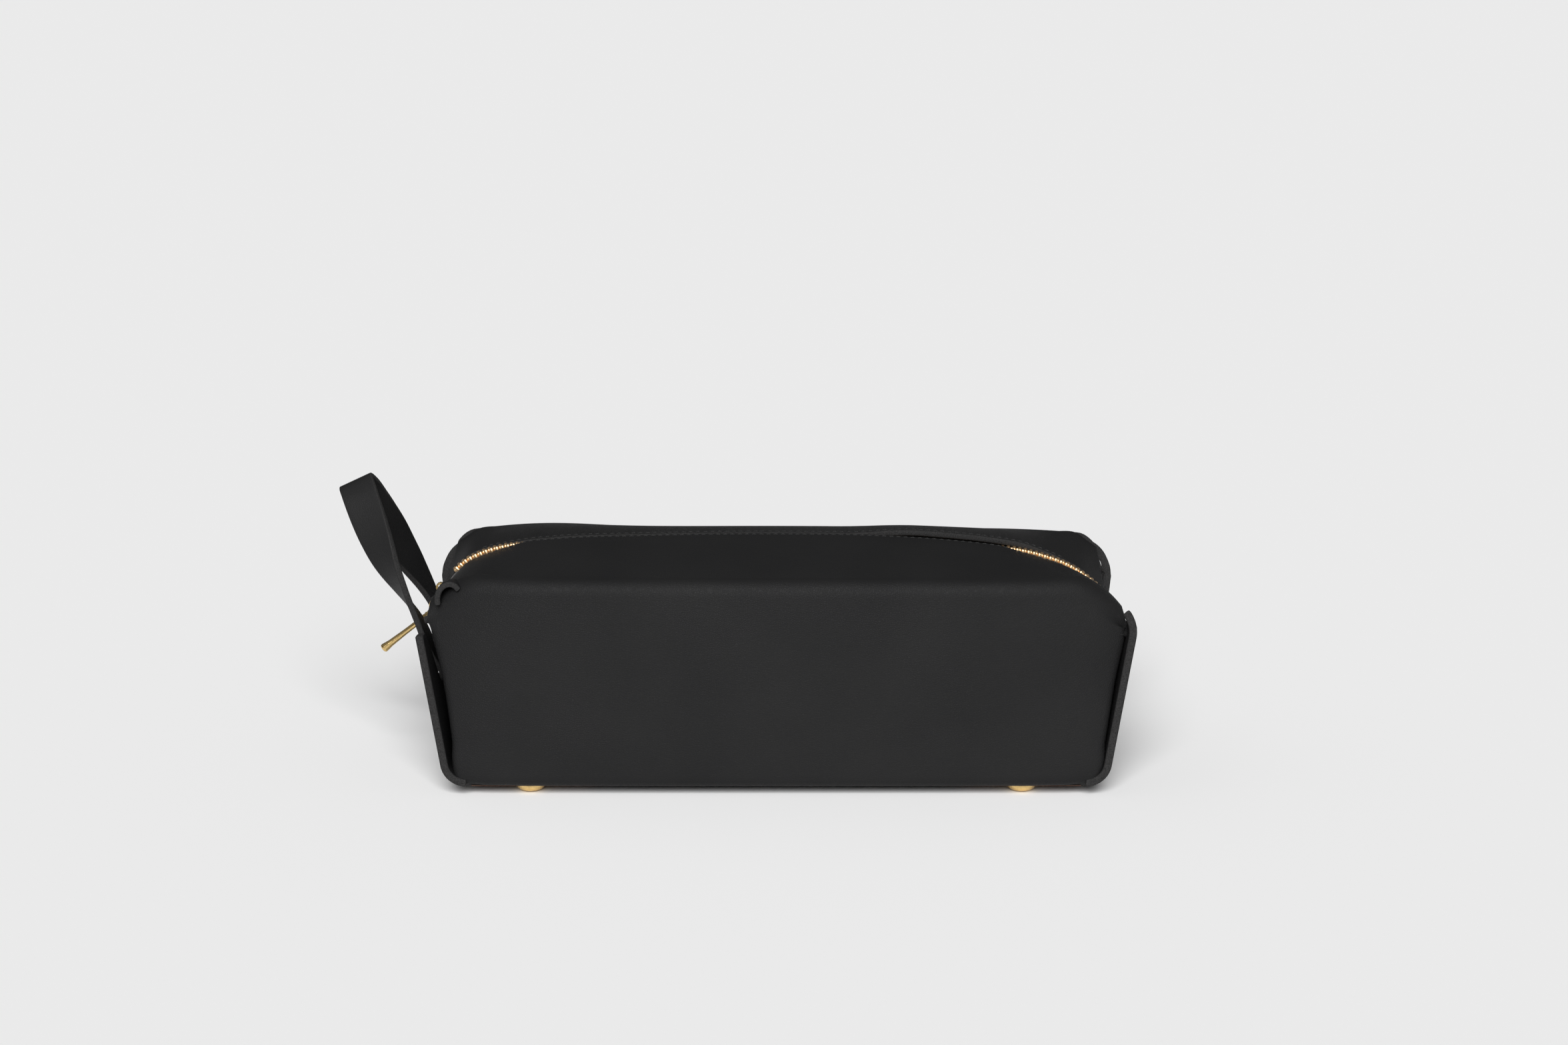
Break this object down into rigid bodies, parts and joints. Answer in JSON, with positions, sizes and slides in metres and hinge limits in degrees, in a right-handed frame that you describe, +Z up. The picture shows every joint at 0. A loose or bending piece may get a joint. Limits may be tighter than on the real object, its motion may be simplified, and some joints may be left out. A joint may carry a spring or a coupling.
{
  "type": "makeup bag",
  "caption": "Zipped box-shaped makeup bag in thick black leather with folded end gussets, a wrist loop, a gold zip and small gold feet.",
  "frame": {"origin": "middle of the bounding box in plan, on the surface that the feet stand on", "axes": "+Z up, +X along the bag's length away from the wrist strap, -Y towards the front face"},
  "size_m": [0.283, 0.093, 0.1072],
  "materials": {
    "black_leather": "matte smooth calfskin with a fine grain",
    "lining_fabric": "fine twill, matte",
    "zip_tape": "woven tape, matte",
    "gold_metal": "polished light gold plating",
    "stiffener": "pressed fibreboard"
  },
  "bodies": {
    "bag_body": {"body_wrap": "black_leather", "base_board": "stiffener", "lining": "lining_fabric", "end_panel_left": "black_leather", "end_panel_right": "black_leather", "flap_end_front_left": "black_leather", "flap_end_front_right": "black_leather", "flap_end_back_left": "black_leather", "flap_end_back_right": "black_leather", "gusset_front_left": "black_leather", "gusset_front_right": "black_leather", "gusset_back_left": "black_leather", "gusset_back_right": "black_leather", "foot_front_left": "gold_metal", "foot_front_right": "gold_metal", "foot_back_left": "gold_metal", "foot_back_right": "gold_metal", "foot_washer_front_left": "gold_metal", "foot_washer_front_right": "gold_metal", "foot_washer_back_left": "gold_metal", "foot_washer_back_right": "gold_metal", "zip_tail_left": "gold_metal", "zip_tail_right": "gold_metal", "strap_tab_front": "black_leather", "strap_tab_back": "black_leather"},
    "flap_front": {"top_flap_front": "black_leather", "zip_tape_front": "zip_tape", "zip_teeth_front": "gold_metal"},
    "flap_back": {"top_flap_back": "black_leather", "zip_tape_back": "zip_tape", "zip_teeth_back": "gold_metal"},
    "slider": {"zip_slider": "gold_metal"},
    "link": {"pull_link": "gold_metal"},
    "pull": {"zip_pull": "gold_metal"},
    "strap": {"wrist_strap": "black_leather"}
  },
  "joints": [
    {"name": "zip_travel", "type": "hinge", "parent": "bag_body", "child": "slider", "pos_m": [0.02084, 0, -0.2715], "axis": [0, 1, 0], "range_deg": [0, 34.9]},
    {"name": "flap_front_open", "type": "hinge", "parent": "bag_body", "child": "flap_front", "pos_m": [0, -0.04069, 0.07631], "axis": [1, 0, 0], "range_deg": [0, 55], "deforming": ["zip_tape_front", "zip_teeth_front"]},
    {"name": "flap_back_open", "type": "hinge", "parent": "bag_body", "child": "flap_back", "pos_m": [0, 0.04069, 0.07631], "axis": [-1, 0, 0], "range_deg": [0, 55], "deforming": ["zip_tape_back", "zip_teeth_back"]},
    {"name": "link_swing", "type": "hinge", "parent": "slider", "child": "link", "pos_m": [-0.10571, 0, 0.06464], "axis": [0, 1, 0], "range_deg": [0, 90]},
    {"name": "pull_swing", "type": "hinge", "parent": "link", "child": "pull", "pos_m": [-0.10676, 0, 0.0573], "axis": [0, 1, 0], "range_deg": [-25, 60]},
    {"name": "strap_swing", "type": "hinge", "parent": "bag_body", "child": "strap", "pos_m": [-0.11176, 0, 0.0577], "axis": [0, 1, 0], "range_deg": [-60, 35], "stiffness_Nm_per_rad": 0.02}
  ],
  "couplings": [
    {"joint": "flap_front_open", "follows": "zip_travel", "ratio": 1.57},
    {"joint": "flap_back_open", "follows": "zip_travel", "ratio": 1.57}
  ]
}
